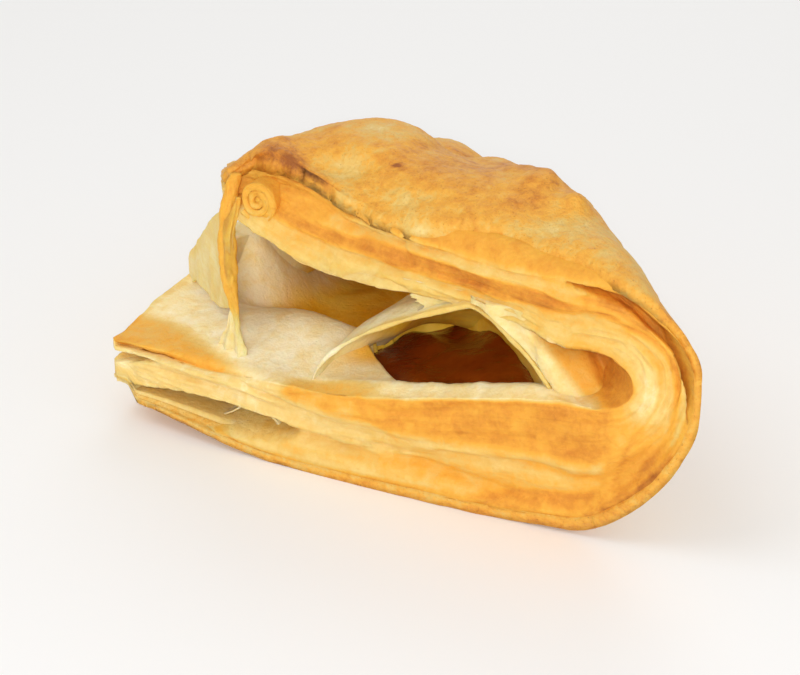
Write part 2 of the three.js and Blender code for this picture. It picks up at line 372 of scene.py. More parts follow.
def addFloor():
    bm = bmesh.new()
    bmesh.ops.create_grid(bm, x_segments=4, y_segments=4, size=studio["floorHalf"])
    mesh = bpy.data.meshes.new("floor")
    bm.to_mesh(mesh)
    bm.free()
    floor = bpy.data.objects.new("floor", mesh)
    bpy.context.collection.objects.link(floor)
    paint = bpy.data.materials.new("floor paint")
    paint.use_nodes = True
    shader = paint.node_tree.nodes["Principled BSDF"]
    shader.inputs["Base Color"].default_value = studio["floorTone"]
    shader.inputs["Roughness"].default_value = studio["floorRough"]
    mesh.materials.append(paint)


addCamera()
addSky()
for light in studio["lights"]:
    addAreaLight(*light)
addFloor()
print("studio")


def tone(red, green, blue):
    # a colour as it is seen on a screen, made linear for the shader
    def linear(c):
        c /= 255
        return c / 12.92 if c < 0.04045 else ((c + 0.055) / 1.055) ** 2.4
    return (linear(red), linear(green), linear(blue), 1)


class Finish:
    # a small hand for laying out nodes
    def __init__(self, name):
        self.material = bpy.data.materials.new(name)
        self.material.use_nodes = True
        self.tree = self.material.node_tree
        self.shader = self.tree.nodes["Principled BSDF"]

    def add(self, kind, inputs=None, **settings):
        node = self.tree.nodes.new(kind)
        for key, value in settings.items():
            setattr(node, key, value)
        for key, value in (inputs or {}).items():
            self.put(node.inputs[key], value)
        return node

    def put(self, socket, value):
        if isinstance(value, bpy.types.NodeSocket):
            self.tree.links.new(value, socket)
        else:
            socket.default_value = value

    def mark(self, name):
        return self.add("ShaderNodeAttribute", attribute_name=name).outputs["Fac"]

    def math(self, operation, a, b):
        return self.add("ShaderNodeMath", {0: a, 1: b}, operation=operation).outputs[0]

    def grain(self, place, scale, detail=4.0, rough=0.6, warp=0.0):
        node = self.add("ShaderNodeTexNoise", {
            "Vector": place, "Scale": scale, "Detail": detail, "Roughness": rough,
            "Distortion": warp,
        })
        return node.outputs["Fac"]

    def spread(self, value, fromLow, fromHigh, toLow=0.0, toHigh=1.0):
        node = self.add("ShaderNodeMapRange", {
            "Value": value, "From Min": fromLow, "From Max": fromHigh,
            "To Min": toLow, "To Max": toHigh,
        })
        return node.outputs["Result"]

    def around(self, grain, amount):
        # a grain as a change of up to amount, either way
        return self.spread(grain, 0.3, 0.7, -amount, amount)

    def blend(self, share, a, b):
        node = self.add("ShaderNodeMix", data_type="RGBA")
        self.put(node.inputs[0], share)
        self.put(node.inputs[6], a)
        self.put(node.inputs[7], b)
        return node.outputs[2]

    def ramp(self, value, stops):
        node = self.add("ShaderNodeValToRGB", {"Fac": value})
        parts = node.color_ramp.elements
        while len(parts) < len(stops):
            parts.new(0.5)
        for part, (spot, colour) in zip(parts, stops):
            part.position = spot
            part.color = colour
        return node.outputs["Color"]


# from raw to brown, as toast goes from 0 to 1
bakedTones = [
    (0.00, tone(252, 240, 202)), (0.12, tone(247, 226, 168)), (0.25, tone(239, 207, 130)),
    (0.42, tone(232, 189, 98)), (0.58, tone(238, 173, 62)), (0.70, tone(229, 157, 52)),
    (0.82, tone(210, 134, 42)), (1.00, tone(160, 90, 28)),
]
jamSoakAndShadeTones = (tone(240, 178, 34), tone(248, 202, 74))  # where jam has soaked in, and the warm shade painted deep inside the pocket
dotTone = tone(140, 78, 24)
# sizes of the grains, as noise scales to the metre
grains = {
    "broad": 55, "jamSoakAndShadeTint": 140, "patchy": 210, "gloss": 420, "crumbs": 430, "pores": 620,
    "fine": 1300, "dots": 2600,
}


def pastryFinish(name, look):
    f = Finish(name)
    place = f.add("ShaderNodeTexCoord").outputs["Object"]
    toast, jamSoakAndShade = f.mark("toast"), f.mark("jamSoakAndShade")
    broad = f.around(f.grain(place, grains["broad"], 3), look["broad"])
    patchy = f.around(f.grain(place, grains["patchy"], 5, 0.65, 0.6), look["patchy"])
    fine = f.grain(place, grains["fine"], 5, 0.7)
    speckled = f.around(fine, look["speckled"])
    browned = f.math("ADD", f.math("ADD", toast, broad), f.math("ADD", patchy, speckled))
    # lines of the leaves, along the run and close together through the sheet
    layered = f.add("ShaderNodeCombineXYZ", {
        "X": f.math("MULTIPLY", f.mark("run"), 0.05),
        "Y": f.math("MULTIPLY", f.mark("leaf"), 1.1),
        "Z": 0.0,
    }).outputs[0]
    lines = f.grain(layered, 1.0, 3, 0.55, 0.3)
    browned = f.math("ADD", browned, f.spread(lines, 0.35, 0.65, -look["lines"], look["lines"]))
    crumbs = f.grain(place, grains["crumbs"], 4, 0.6, 0.4)
    browned = f.math("ADD", browned, f.around(crumbs, look["mottled"]))
    colour = f.ramp(browned, bakedTones)
    # the jam-soaked tint, which also stands for the painted warm shade deep inside the pocket
    jamSoakAndShadeTint = f.blend(f.spread(f.grain(place, grains["jamSoakAndShadeTint"], 4), 0.35, 0.65), *jamSoakAndShadeTones)
    colour = f.blend(jamSoakAndShade, colour, jamSoakAndShadeTint)
    dots = f.grain(place, grains["dots"], 2, 0.5)
    dotted = f.spread(dots, look["dotsFrom"], look["dotsFrom"] + 0.06)
    colour = f.blend(f.math("MULTIPLY", dotted, look["dots"]), colour, dotTone)
    f.put(f.shader.inputs["Base Color"], colour)
    gloss = f.spread(f.grain(place, grains["gloss"], 4), 0.3, 0.7, look["roughLow"], look["roughHigh"])
    f.put(f.shader.inputs["Roughness"], gloss)
    f.shader.inputs["Specular IOR Level"].default_value = look["shine"]
    f.shader.inputs["Subsurface Weight"].default_value = look["glow"]
    f.shader.inputs["Subsurface Radius"].default_value = (1.0, 0.55, 0.2)
    f.shader.inputs["Subsurface Scale"].default_value = 0.004
    cells = f.add("ShaderNodeTexVoronoi", {"Vector": place, "Scale": grains["pores"]})
    pores = cells.outputs["Distance"]
    height = f.math("MULTIPLY", fine, look["bumpFine"])
    for grain, share in ((lines, "bumpLines"), (pores, "bumpPores"), (crumbs, "bumpCrumbs")):
        height = f.math("ADD", height, f.math("MULTIPLY", grain, look[share]))
    bump = f.add("ShaderNodeBump", {"Height": height, "Strength": 0.6, "Distance": 0.0006})
    f.put(f.shader.inputs["Normal"], bump.outputs["Normal"])
    return f.material


# how far each grain browns and raises the surface, and how the surface takes the light
doughLook = {
    "broad": 0.05, "patchy": 0.07, "speckled": 0.03, "mottled": 0.06, "lines": 0.03,
    "dots": 0.0, "dotsFrom": 0.7, "roughLow": 0.5, "roughHigh": 0.7, "shine": 0.3, "glow": 0.2,
    "bumpFine": 0.6, "bumpLines": 0.35, "bumpPores": 0.2, "bumpCrumbs": 0.9,
}
crustLook = {
    "broad": 0.08, "patchy": 0.09, "speckled": 0.08, "mottled": 0.1, "lines": 0.0,
    "dots": 0.35, "dotsFrom": 0.66, "roughLow": 0.38, "roughHigh": 0.62, "shine": 0.4, "glow": 0.06,
    "bumpFine": 1.1, "bumpLines": 0.0, "bumpPores": 0.6, "bumpCrumbs": 1.6,
}
skinLook = dict(
    doughLook, lines=0.015, mottled=0.03, patchy=0.05, glow=0.35, bumpLines=0.1, bumpCrumbs=0.7,
)
doughFinish = pastryFinish("baked leaves", doughLook)
crustFinish = pastryFinish("browned crust", crustLook)
skinFinish = pastryFinish("thin inner skin", skinLook)
print("pastry finishes")

jamLook = {
    "dark": tone(112, 38, 3), "light": tone(140, 60, 9), "cloud": 130, "lumps": 520,
    "rough": 0.22, "shine": 0.4,
}


def jamFinish():
    f = Finish("cooked jam")
    place = f.add("ShaderNodeTexCoord").outputs["Object"]
    cloud = f.spread(f.grain(place, jamLook["cloud"], 4), 0.3, 0.7)
    f.put(f.shader.inputs["Base Color"], f.blend(cloud, jamLook["dark"], jamLook["light"]))
    f.shader.inputs["Roughness"].default_value = jamLook["rough"]
    f.shader.inputs["Specular IOR Level"].default_value = jamLook["shine"]
    lumps = f.grain(place, jamLook["lumps"], 4, 0.6)
    bump = f.add("ShaderNodeBump", {"Height": lumps, "Strength": 0.3, "Distance": 0.0008})
    f.put(f.shader.inputs["Normal"], bump.outputs["Normal"])
    return f.material


cookedJam = jamFinish()
print("jam finish")

# the folded sheet itself, a thick stack of leaves
dough = {
    "cells": (400, 58, 40),
    "crustShare": 1.5, "hiddenShare": 3.2,  # mm left for the crust, at the cuts and inside
    "broadLeaf": 0.8, "fineLeaf": 0.55,  # mm that the leaves' edges stand in and out
    # gaps between leaves on the front face: u from and to, depth at both ends, mm deep, mm wide
    "frontGaps": [
        (0.110, 0.185, 0.13, 0.31, 2.0, 1.0), (0.135, 0.232, 0.54, 0.70, 2.2, 0.8),
        (0.235, 0.340, 0.66, 0.79, 1.8, 0.8), (0.280, 0.385, 0.50, 0.56, 1.6, 0.7),
        (0.020, 0.125, 0.33, 0.30, 0.8, 0.9), (0.225, 0.250, 0.52, 0.62, 1.0, 0.5),
        (0.470, 0.590, 0.42, 0.40, 0.6, 0.8), (0.450, 0.640, 0.55, 0.76, 0.9, 0.6),
        (0.640, 0.860, 0.30, 0.26, 1.0, 0.6), (0.760, 0.950, 0.36, 0.24, 1.0, 0.6),
        (0.830, 0.962, 0.87, 0.88, 2.6, 0.7), (0.700, 0.880, 0.86, 0.66, 1.6, 0.6),
        (0.640, 0.760, 0.12, 0.10, 0.8, 0.5), (0.840, 0.975, 0.70, 0.72, 1.6, 0.6),
    ],
    "rearGaps": [
        (0.04, 0.34, 0.30, 0.34, 2.0, 0.7), (0.02, 0.20, 0.62, 0.66, 1.8, 0.7),
        (0.30, 0.62, 0.45, 0.40, 2.0, 0.7), (0.28, 0.66, 0.72, 0.70, 1.5, 0.6),
        (0.55, 0.94, 0.35, 0.40, 1.5, 0.6), (0.64, 0.97, 0.68, 0.72, 1.6, 0.6),
    ],
    # the orange leaf on the bottom sheet: its lower border as depth along u, and its strength
    "bandLow": [(0.13, 0.17), (0.17, 0.19), (0.21, 0.28), (0.25, 0.38), (0.30, 0.43), (0.41, 0.53)],
    "bandFrom": [(0.14, 0.0), (0.165, 0.85), (0.21, 0.7), (0.25, 0.8), (0.31, 1.0)],
    # a brown crease that runs down to the foot of the fold
    "footLine": [(0.32, 0.51), (0.36, 0.60), (0.39, 0.64), (0.42, 0.82)],
    # the browned rim of the top sheet, and the brown line that it runs on as round the fold
    "rimTop": [
        (0.45, 0.82), (0.49, 0.72), (0.53, 0.68), (0.57, 0.58), (0.61, 0.68), (0.66, 0.76),
        (0.75, 0.79), (0.84, 0.72), (0.87, 0.62), (0.93, 0.50),
    ],
    "rimLow": [(0.61, 0.55), (0.66, 0.46), (0.69, 0.40), (0.81, 0.42), (0.84, 0.48), (0.93, 0.38)],
    # the wide gap under the outermost leaf: from and to along u, mm deep, its sides as depths
    "wideGap": (0.478, 0.63), "wideGapDeep": 6.5,
    "gapLow": [
        (0.478, 0.86), (0.49, 0.76), (0.515, 0.67), (0.552, 0.62), (0.595, 0.70), (0.63, 0.86),
    ],
    "gapHigh": [(0.478, 0.87), (0.50, 0.87), (0.56, 0.85), (0.60, 0.85), (0.63, 0.88)],
    # the opening at the bottom sheet's free corner, mm
    "notchLong": 11, "notchHeight": 13.2, "notchWide": 1.3,
}
# the hollow under the jam and the jam's level, mm
hollow = {
    "left": 45.5, "right": 90, "back": 40, "low": 9.5, "rise": 5.5, "level": 14.2, "tilt": 7.6,
}
# the blister blown between the leaves of the bottom sheet, open to the front, mm
bubble = {"left": 4, "long": 39, "low": 6, "high": 6.4, "half": 3.1, "shallow": 4, "deep": 11}


def hollowFloor(share):
    return hollow["low"] + hollow["rise"] * share


def hollowLip(x):
    return mix(10.5, 3.6, ease(50, 64, x))


def hollowBack(x):
    return min(hollow["back"], foldY(x, 1.05))


def hollowRound(share):
    return sqrt(max(0.05, 1 - (2 * share - 1) ** 4))


def inHollow(p):
    # 0 outside the hollow that holds the jam, 1 well inside it
    share = (p.x - hollow["left"]) / (hollow["right"] - hollow["left"])
    if not 0 < share < 1:
        return 0.0
    lip, back = hollowLip(p.x), hollowBack(p.x)
    half = (back - lip) / 2 * hollowRound(share)
    inside = half - abs(p.y - (back + lip) / 2)
    return ease(0, 1.6, inside) * ease(0, 1.5, min(p.x - hollow["left"], hollow["right"] - p.x))


def leafRelief(run, mmDeep, seed):
    # long bands with short uneven flakes on them, as the leaves' edges make
    bend = mmDeep * 0.42 + 1.1 * wobble(run * 0.022, seed, 3)
    broad = dough["broadLeaf"] * wobble(run * 0.03, bend, seed, 2)
    tilt = bend * 2.2 + 0.9 * wobble(run * 0.06, mmDeep * 0.2, seed + 2)
    flake = dough["fineLeaf"] * wobble(run * 0.11, tilt, seed + 5, 3)
    return broad + flake - 0.5 * max(0.0, wobble(run * 0.075, tilt * 0.9, seed + 8, 2) - 0.12)


def gapDepth(gaps, u, depth, seed):
    total = 0.0
    thick = sheetThick(u)
    for start, end, depthA, depthB, deep, wide in gaps:
        k = (u - start) / (end - start)
        if 0 < k < 1:
            middle = mix(depthA, depthB, k) + 0.03 * wobble(u * 18, start * 50, seed)
            total += deep * sin(pi * k) ** 0.7 * exp(-abs((depth - middle) * thick / wide) ** 1.8)
    return total


def lapShare(u):
    # how much of the sheet the innermost leaves take, which lap over those below
    first = mix(0.12, 0.5, ease(0.08, 0.36, u)) * (1 - ease(0.42, 0.6, u))
    return first + 0.25 * ease(0.42, 0.6, u)


def lapOut(u, depth):
    lap = lapShare(u)
    through = 0.4 * depth / lap if depth < lap else 0.4 + 0.6 * ((depth - lap) / (1 - lap)) ** 0.77
    lapped = 1.6 * (1 - ease(0.38, 0.62, through)) - 0.9 * hump(through, 0.66, 0.14)
    return (lapped + 0.9 * hump(through, 0.86, 0.1)) * (1 - ease(0.4, 0.55, u))


def bubblePush(p):
    # how far back a point of the front face goes to open the bubble
    k = (p.x - bubble["left"]) / bubble["long"]
    if not 0 < k < 1:
        return 0.0
    arch = sin(pi * mix(0.12, 1, k)) ** 0.6
    q = abs(p.z - mix(bubble["low"], bubble["high"], k)) / (bubble["half"] * arch + 0.01)
    skinLeft = ease(0.1, 0.9, p.z - underside(p.x))
    deep = bubble["shallow"] + bubble["deep"] * arch
    return deep * ease(0, 0.6, 1 - q) * skinLeft * ease(1, 0.85, k)


def inWideGap(u):
    return dough["wideGap"][0] < u < dough["wideGap"][1]


def leafGapPush(u, depth):
    # the same for the wide gap round the fold
    if not inWideGap(u):
        return 0.0
    low, high = lineThrough(u, dough["gapLow"]), lineThrough(u, dough["gapHigh"])
    q = (depth - low) / (high - low)
    return dough["wideGapDeep"] * ease(0, 0.35, q) * ease(1, 0.8, q) if 0 < q < 1 else 0.0


def notchPush(s, z):
    # s is how far along a cut the point lies from the corner
    long = dough["notchLong"]
    if s > long:
        return 0.0
    half = mix(dough["notchWide"], 0.3, max(0.0, s) / long)
    return (long - s) / 2 * ease(0, 0.5, 1 - abs(z - dough["notchHeight"] - 0.1 * s) / half)


def shapeFloor(p):
    # the floor sinks under the jam, and its torn lip stands up in front of it
    k = inHollow(p)
    if k > 0:
        share = (p.x - hollow["left"]) / (hollow["right"] - hollow["left"])
        p.z = mix(p.z, min(p.z, hollowFloor(share)), k)
    lip = ease(40, 56, p.x) * (1 - ease(86, 103, p.x)) * hump(p.y, 2.4, 1.8)
    p.z += (1.1 + 0.5 * wobble(p.x * 0.3, 6, 0, 2)) * lip


def nearCut(w):
    # 1 at a cut edge, fading within a few mm of it
    return exp(-sheet["between"] * w / sheet["cutReach"])


def inRows(v):
    # rows from 0 to 1 that lie closer together near both ends
    return (1 - cos(pi * v)) / 2


def doughPlace(u, v, t):
    w = inRows(v)
    thick = sheetThick(u)
    under = mix(dough["crustShare"], dough["hiddenShare"], ease(0.06, 0.12, min(w, 1 - w)))
    depth = t * (1 - under / thick)
    p = sheetPlace(u, w, depth)
    front = w < 0.5
    edge = nearCut(w if front else 1 - w)
    if t == 0 and u < 0.4:
        shapeFloor(p)
    if edge > 0.01:
        ends = ease(0, 0.08, u) * ease(0, 0.06, 1 - u)
        leaves = leafRelief(u * sheet["unrolled"], depth * thick, 1 if front else 9)
        out = lapOut(u, depth) * ends + leaves * ease(0, 0.02, u)
        out -= gapDepth(dough["frontGaps" if front else "rearGaps"], u, depth, 2 if front else 7)
        if front:
            p.y -= out * edge
            if u < 0.16:  # the tip's upper leaf is rounded over
                over = (1 - ease(0.09, 0.16, u)) * max(0.0, 1 - depth * thick / 3) ** 2 * edge
                p.y += 2.4 * over
                p.z -= 1.6 * over
            if 0 < t < 1 and v == 0 and u < 0.4:
                p.y += bubblePush(p)
            elif 0 < t < 1 and v == 0:  # this one follows the fold, which runs aslant
                push = leafGapPush(u, depth)
                p.x -= 0.75 * push
                p.y += 0.66 * push
        else:
            p.x -= out * edge
    if 0 < t < 1 and u < 0.06:
        push = notchPush(max(0.0, p.x if front else p.y), p.z)
        p.x += push
        p.y += push
    return p


def bottomToast(u, depth):
    # the front face of the bottom sheet
    low = lineThrough(u, dough["bandLow"])
    start = lineThrough(u, dough["bandFrom"]) if u > 0.14 else 0.0
    band = start * (1 - ease(low - 0.07, low + 0.07, depth)) * ease(0.0, 0.03, depth)
    base = mix(0.24, 0.34, ease(0.06, 0.3, u)) + 0.14 * hump(depth, 0.8, 0.12)
    base += 0.04 * ease(0.5, 0.65, depth) * ease(0.18, 0.3, u)
    under = mix(0.93, 0.80, ease(0.29, 0.36, u))
    bottom = 0.3 * ease(under - 0.02, under + 0.05, depth)
    footLine = hump(depth, lineThrough(u, dough["footLine"]), 0.05) * ease(0.30, 0.335, u)
    return base + 0.38 * band + bottom + 0.2 * footLine


def foldToast(u, depth):
    # the arcs round the fold
    line = lineThrough(u, dough["rimTop"])
    cream = 0.18 * hump(u, 0.485, 0.035) + 0.04
    toast = 0.4 - cream * hump(depth, 0.26, 0.16)
    toast += mix(0.14, 0.3, ease(0.46, 0.5, u)) * hump(depth, line - 0.04, 0.06)
    # the first term browns the inner bend: painted shade in the hollow of the fold
    toast += 0.4 * exp(-depth / 0.06) * ease(0.44, 0.48, u) + 0.1 * hump(depth, 0.42, 0.04)
    inGap = ease(0.50, 0.53, u) * (1 - ease(0.61, 0.635, u))
    toast += 0.34 * inGap * ease(line, line + 0.08, depth) * (1 - ease(0.84, 0.9, depth))
    return toast + 0.24 * ease(0.85, 0.92, depth) + 0.26 * (1 - ease(0.44, 0.475, u))


def topToast(u, depth):
    # the front face of the top sheet
    low, high = lineThrough(u, dough["rimLow"]), lineThrough(u, dough["rimTop"])
    rim = ease(low - 0.08, low + 0.06, depth) * (1 - ease(high - 0.05, high + 0.06, depth))
    toast = 0.4 + 0.12 * depth + 0.32 * rim * (1 - 0.4 * ease(0.84, 0.92, u))
    toast += 0.16 * ease(0.84, 0.92, u) * ease(0.3, 0.6, depth)
    toast -= 0.1 * hump(depth, 0.88, 0.08) * (1 - ease(0.80, 0.9, u))
    return mix(toast, 0.66, ease(0.935, 0.965, u) * ease(0.3, 0.6, depth))


def faceToast(u, depth):
    if u < 0.36:
        return bottomToast(u, depth)
    if u < 0.59:
        # the arcs run together at the foot of the fold
        border = 0.93 * (1 - ease(0.385, 0.452, u))
        lower = bottomToast(u, depth) if u < 0.46 else 0.0
        arcs = foldToast(max(u, 0.44), max(0.0, (depth - border) / (1 - border)))
        return mix(lower, arcs, ease(border - 0.1, border + 0.12, depth + 0.04))
    return mix(foldToast(u, depth), topToast(u, depth), ease(0.59, 0.65, u))


def floorMarks(p, rear):
    toast = 0.03 + 0.11 * exp(-min(p.x, p.y, 30) / 5) + 0.1 * rear
    strip = mix(12.5, 1.5, ease(4, 32, p.x))
    toast += 0.47 * (1 - ease(strip - 4, strip + 1.5, p.y)) * (1 - ease(24, 34, p.x))
    toast += 0.34 * (1 - ease(0.8, 3, p.y)) * ease(38, 42, p.x) * (1 - ease(54, 62, p.x))
    # the floor takes the jam-soaked tint under the jam, and painted shade behind its crest, toward the
    # rear and in the chamber beside the jam, where the pocket lies deep in shade
    crest = floorCrest(p.x)
    behind = ease(crest + 1, crest + 8, p.y) * ease(12, 19, p.x)
    jamSoakAndShade = max(behind, 0.2 * ease(28, 40, p.y)) * (1 - rear)
    return toast, max(jamSoakAndShade, inHollow(p), 0.9 * ease(43, 49, p.x) * ease(7, 12, p.y))


def doughMarks(u, v, t, p):
    w = inRows(v)
    jamSoakAndShade = 0.0
    if t == 0:  # what shows inside the pocket
        rear = ease(0.95, 0.98, w)
        if u < 0.4:
            toast, jamSoakAndShade = floorMarks(p, rear)
        elif u < 0.62:
            # the fold's inside browns toward the bend and takes the warm tint further in: painted shade
            # in the hollow of the fold
            toast = mix(0.2, 0.8, ease(0.412, 0.45, u))
            jamSoakAndShade = ease(8, 20, p.y) * (1 - rear)
        else:
            toast = mix(0.34, 0.16, ease(1, 6, p.y - frontSet(p.x)))
            # further in under the roof, the warm tint is painted shade
            jamSoakAndShade = ease(4, 12, p.y) * (1 - rear)
    elif w < 0.5:
        toast = mix(faceToast(u, t), 0.64, ease(0.0, 0.01, w) if t == 1 else 0.0)
        if t == 1 and u < 0.2:  # the skin under the bubble, seen from inside
            toast = 0.3
        if v == 0 and p.y > 3.5 and 0.02 < t < 0.98:  # inside the bubble and the leaf gap
            toast = 0.3 if u < 0.4 else 0.76 if inWideGap(u) else toast
    else:
        toast = 0.34 + 0.2 * ease(0.7, 0.95, t) + 0.1 * sin(9 * t + 14 * u) * ease(0.1, 0.3, u)
    return toast, jamSoakAndShade, t * sheetThick(u), u * sheet["unrolled"]


def doughRelief(u, v, t, p):
    return 0.3 * wobble(p.x * 0.1, p.y * 0.1, p.z * 0.1, 3) if t == 0 else 0.0


bm = newPiece()
placeBlock(bm, dough["cells"], doughPlace, doughMarks, doughRelief)
finishPiece("folded_dough", bm, doughFinish, "baked_pastry", "pastry")

# the outer crust, a thin blistered leaf over the whole outside
crust = {
    "topCells": (240, 172, 1), "underCells": (150, 110, 1),
    "topFrom": 0.385, "overlap": 0.012,  # where the top crust starts, and how far the other passes it
    "thick": 1.7, "hiddenThick": 2.4, "swell": 0.7, "blister": 0.45, "crinkle": 0.16,  # mm
    "rag": 0.7, "underRag": 0.35,  # mm that the edges wander, and the share of it below
    "setBack": 4.5,  # mm that the top's edge stands back beside the fold
    "crack": ((31, 14.4), (46, 10.2)), "crackWide": 0.6, "crackDeep": 0.7,  # its two ends, mm
    # round blisters and nubs: x, y, reach x, reach y, rise, all mm
    "nubs": [
        (74.9, 37.7, 2.6, 2.6, 1.6), (85.8, 31.6, 2.4, 2.6, 1.4), (69.5, 6.5, 6.5, 2.6, 1.7),
        (33, 28, 10, 10, 0.3), (27, 18, 6, 6, 3.0), (49, 33, 8, 9, 2.6), (55, 52, 9, 7, -1.8),
        (66, 20, 7, 7, -0.8), (46, 19, 6, 3, 0.5), (43.5, 16, 6, 2.4, -1.2),
        (32, 13.5, 6, 2.2, 0.4), (60, 30, 3, 9, 0.5), (62, 11, 6, 2.4, -0.6),
        (80.6, 22.7, 2.2, 2.8, 1.9), (85.2, 20.5, 1.9, 2.6, -0.7), (89, 15, 8, 7, -0.9),
        (88.8, 19.2, 2.2, 2.8, 1.8), (20, 52, 7, 6, 1.2), (40, 60, 6, 7, 1.0),
        (62, 48, 7, 6, 0.9), (14, 74, 5, 6, 1.0), (30, 80, 5, 5, 0.8),
    ],
    # browner and paler places: x, y, reach x, reach y, change of toast
    "patches": [
        (66, 20, 14, 9, 0.09), (76, 30, 9, 8, 0.08), (31, 13.8, 6, 2.6, 0.22),
        (41, 11, 6, 1.6, 0.12), (23.5, 12.5, 4, 3, 0.14), (43, 16, 4.5, 2.8, -0.3),
        (60.5, 10.6, 6, 2.4, -0.26), (39, 23, 6, 3.5, 0.12), (47, 27, 6, 4, -0.14),
        (82, 15, 6, 5, 0.1), (92, 12, 5, 4, -0.12), (75, 20, 2.5, 6, -0.12),
        (45.6, 9.2, 3.4, 2.0, -0.22), (63.6, 6.0, 3.4, 2.4, -0.24), (85.8, 9.0, 6, 2.6, -0.16),
        (96, 14, 9, 9, -0.1), (37, 27, 9, 7, -0.1), (69.5, 5.0, 5, 2.0, -0.2),
        (95, 21, 3, 2, 0.14), (25, 60, 12, 10, 0.08), (50, 52, 12, 9, 0.1),
        (12, 80, 10, 8, -0.06), (53.7, 17.5, 0.9, 0.5, 0.4),
    ],
}


def crackAt(p):
    # 1 along the split behind the top's front ridge, 0 a millimetre from it
    (xStart, yStart), (xEnd, yEnd) = crust["crack"]
    k = (p.x - xStart) / (xEnd - xStart)
    if not 0 < k < 1:
        return 0.0
    middle = mix(yStart, yEnd, k) + 0.5 * wobble(p.x * 0.5, 3)
    return hump(p.y, middle, crust["crackWide"]) * sin(pi * k) ** 0.5


def crustShape(u, w, t):
    thick = mix(crust["thick"], crust["hiddenThick"], ease(0.03, 0.09, min(w, 1 - w)))
    depth = 1 - (1 - t) * thick / sheetThick(u)
    p = sheetPlace(u, w, depth)
    rag = crust["rag"] * (crust["underRag"] if u < 0.45 else 1.0)
    back = crust["setBack"] * ease(0.58, 0.64, u) * (1 - ease(0.72, 0.80, u))
    p.y += back * exp(-22 * w)
    lapped = (lapOut(u, depth) + 0.3) * ease(0, 0.08, u) * ease(0, 0.06, 1 - u)
    p.y -= nearCut(w) * (rag * wobble(u * 45, 3, 0, 2) + lapped)
    p.x -= nearCut(1 - w) * (rag * wobble(u * 40, 8, 0, 2) + 0.3)
    return p


def crustRelief(u, w, t, p):
    if t < 1:
        return 0.0
    q = p * 0.001
    swell = crust["swell"] * wobble(q.x * 70, q.y * 70, q.z * 70, 2)
    small = crust["blister"] * (0.5 - min(1.0, 1.3 * noise.voronoi(q * 210)[0][0]))
    fine = crust["crinkle"] * wobble(q.x * 650, q.y * 650, q.z * 650, 3)
    rise = swell + small * ease(-0.2, 0.4, wobble(q.x * 60 + 4, q.y * 60, q.z * 60)) + fine
    if u > 0.5:
        rise += moundsAt(p, crust["nubs"]) - crust["crackDeep"] * crackAt(p)
    return (rise - 0.2) * mix(0.35, 1, ease(0, 0.03, min(w, 1 - w)))


def crustMarks(u, w, t, p):
    edge = exp(-min(w, 1 - w) * 60)
    if u > 0.4:
        toast = 0.58 + 0.05 * ease(44, 56, p.z) + mix(-0.02, 0.16, ease(88, 104, p.x)) * edge
        toast += moundsAt(p, crust["patches"]) + 0.3 * crackAt(p) - 0.1 * ease(88, 106, p.x)
    else:
        toast = 0.58 + 0.06 * wobble(p.x * 0.05, p.y * 0.05) + 0.08 * ease(10, 60, p.x) * edge
        toast -= 0.36 * (1 - ease(3.5, 7, p.x + max(0.0, p.y)))
    if t == 0:  # its inside
        toast = 0.6 if u > 0.4 else mix(0.4, 0.56, ease(10, 60, p.x))
    return toast, 0.0, t, u * sheet["unrolled"]


def addCrust(name, cells, first, last):
    def spot(u, v):
        # rows lie a little closer together near the two cuts
        return mix(first, last, u), mix(v, inRows(v), 0.45)

    bm = newPiece()
    placeBlock(
        bm, cells,
        lambda u, v, t: crustShape(*spot(u, v), t),
        lambda u, v, t, p: crustMarks(*spot(u, v), t, p),
        lambda u, v, t, p: crustRelief(*spot(u, v), t, p),
    )
    finishPiece(name, bm, crustFinish, "baked_pastry")


addCrust("top_crust", crust["topCells"], crust["topFrom"], 1)
addCrust("under_crust", crust["underCells"], 0, crust["topFrom"] + crust["overlap"])

# skins inside: blown up over the jam, the shut seam beside it and the rear membrane, mm
skins = {
    "vaultCells": (150, 70, 2), "seamCells": (110, 30, 5), "rearCells": (120, 40, 4),
    "thick": 1.5, "fibre": 0.35, "torn": 0.5,
    # along x: both ends of the blown skin, and where its rim rises, meets the seam and ends
    "from": 26, "to": 93, "start": 44, "weld": 76, "end": 92,
    "back": 52, "floor": 12, "high": 23,
    "rearFrom": 27, "rearTo": 88,
}


def floorHeight(x, y):
    run = min(1.1, x / sheet["frontInner"] + y / sheet["rearInner"])
    return bottomPlace(run, min(1.0, y / max(6.0, mix(1, sheet["rearInner"], run))), 0).z


def vaultRim(x):
    # height of the blown skin's front rim
    if x < skins["weld"]:
        up = max(0.0, (x - skins["start"]) / (skins["weld"] - skins["start"])) ** 0.55
        return sheet["tipThick"] + skins["high"] * up
    down = ((x - skins["weld"]) / (skins["end"] - skins["weld"])) ** 1.6
    return sheet["tipThick"] + skins["high"] - 12 * down


def vaultPlace(u, v, t):
    x = mix(skins["from"], skins["to"], u)
    y = mix(2, min(skins["back"], foldY(x, 1.1)), v ** 1.3)
    fall = 1 + 0.06 * ease(2, 9, y) - 1.06 * ease(15, 49, y)
    inward = ease(6, 20, y)
    lifted = ease(mix(40, 46, inward), mix(45, 62, inward), x)  # the rest lies on the floor
    z = mix(floorHeight(x, y) - 0.9, mix(skins["floor"], vaultRim(x), fall), lifted)
    z -= skins["thick"] * t * mix(0.6, 1, ease(0, 0.15, v))
    y += skins["torn"] * wobble(x * 0.22, 2, 0, 2) * (1 - ease(0, 0.2, v))
    return Vector((x, y, z))


